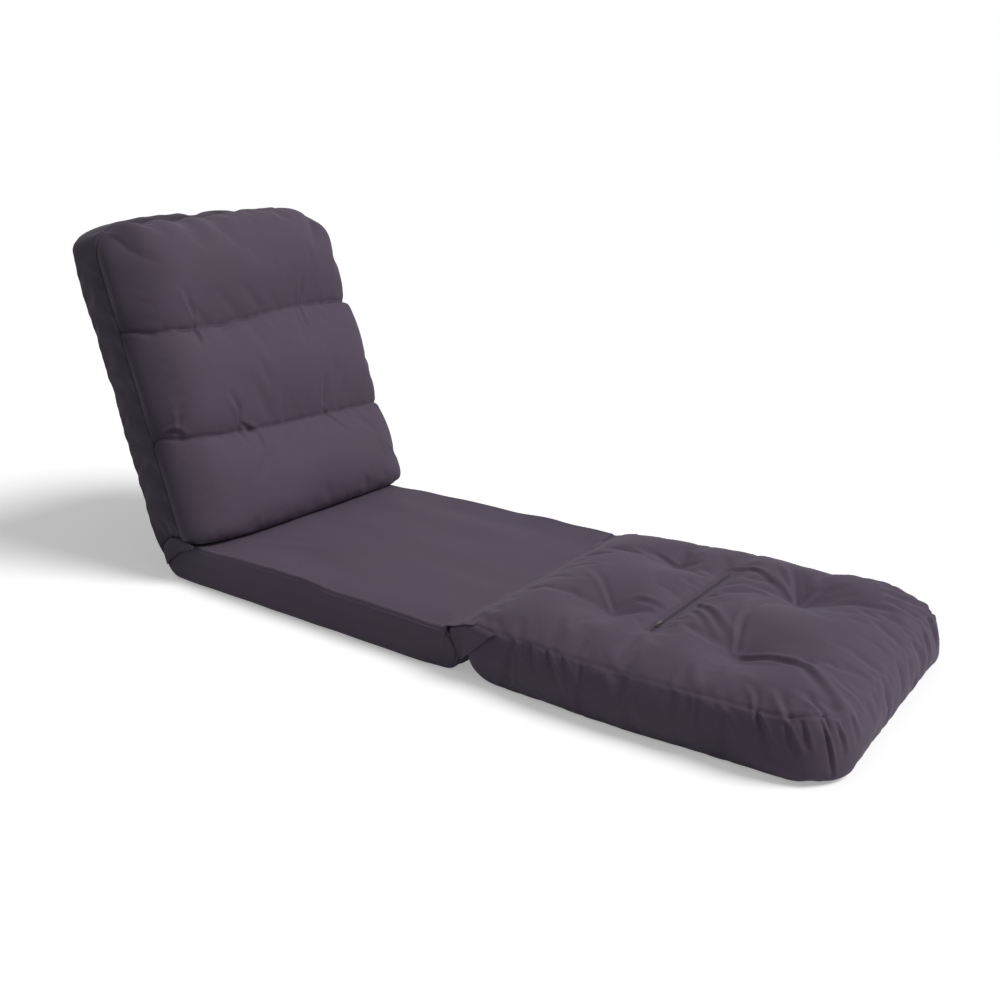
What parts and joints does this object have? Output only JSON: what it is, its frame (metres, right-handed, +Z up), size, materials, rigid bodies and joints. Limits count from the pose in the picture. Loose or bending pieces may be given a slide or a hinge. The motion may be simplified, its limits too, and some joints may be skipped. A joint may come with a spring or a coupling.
{
  "type": "folding floor chair",
  "caption": "Padded floor lounger: flat seat pad, quilted back reclining on ratchet hinges inside it, and a tufted foot cushion that flips onto the seat.",
  "frame": {"origin": "on the floor, under the middle of the seat pad", "axes": "+Z up; +Y towards the backrest, so the sitter faces -Y; X is the width"},
  "size_m": [0.57, 1.5762, 0.714],
  "materials": {
    "cover_cloth": "smooth plain-woven polyester, matt with a faint sheen",
    "base_cloth": "black non-woven underside cloth",
    "foam": "polyurethane foam",
    "fibre": "polyester fibre fill",
    "frame_paint": "powder-coated steel tube",
    "zinc_steel": "zinc-plated pressed steel",
    "zip_nylon": "woven nylon tape with a nylon coil",
    "zip_metal": "polished die-cast slider"
  },
  "bodies": {
    "seat": {"seat_cover": "cover_cloth", "seat_foam": "foam", "seat_frame": "frame_paint", "seat_cross_bars": "frame_paint", "seat_base_cloth": "base_cloth", "seat_fold_flap": "cover_cloth", "gear_plate_left": "zinc_steel", "gear_plate_right": "zinc_steel", "pivot_rivet_left": "zinc_steel", "pivot_rivet_right": "zinc_steel", "seat_frame_rivets": "zinc_steel"},
    "back": {"back_cover": "cover_cloth", "back_foam": "foam", "back_frame": "frame_paint", "back_cross_bars": "frame_paint", "back_quilt": "cover_cloth", "back_fill_lower": "fibre", "back_fill_middle": "fibre", "back_fill_upper": "fibre", "hinge_housing_left": "zinc_steel", "hinge_housing_right": "zinc_steel", "back_frame_rivets": "zinc_steel", "pawl_spring_left": "zinc_steel", "pawl_spring_right": "zinc_steel"},
    "pawl_l": {"pawl_left": "zinc_steel"},
    "pawl_r": {"pawl_right": "zinc_steel"},
    "foot": {"foot_cushion": "cover_cloth", "foot_core": "fibre", "foot_fold_flap": "cover_cloth", "zip_tape": "zip_nylon"},
    "slider": {"zip_slider": "zip_metal"}
  },
  "joints": [
    {"name": "recline", "type": "hinge", "parent": "seat", "child": "back", "pos_m": [0, 0.346, 0.039], "axis": [-1, 0, 0], "range_deg": [-3, 71.5]},
    {"name": "foot_flip", "type": "hinge", "parent": "seat", "child": "foot", "pos_m": [0, -0.371, 0.0985], "axis": [-1, 0, 0], "range_deg": [0, 180]},
    {"name": "pawl_left_lift", "type": "hinge", "parent": "back", "child": "pawl_l", "pos_m": [-0.214, 0.34094, 0.06958], "axis": [1, 0, 0], "range_deg": [0, 8], "stiffness_Nm_per_rad": 0.1, "springref_deg": -5.73, "deforming": ["pawl_spring_left"]},
    {"name": "pawl_right_lift", "type": "hinge", "parent": "back", "child": "pawl_r", "pos_m": [0.214, 0.34094, 0.06958], "axis": [1, 0, 0], "range_deg": [0, 8], "stiffness_Nm_per_rad": 0.1, "springref_deg": -5.73, "deforming": ["pawl_spring_right"]},
    {"name": "zip_slide", "type": "slide", "parent": "foot", "child": "slider", "axis": [1, 0, 0], "range_m": [0, 0.246]}
  ]
}
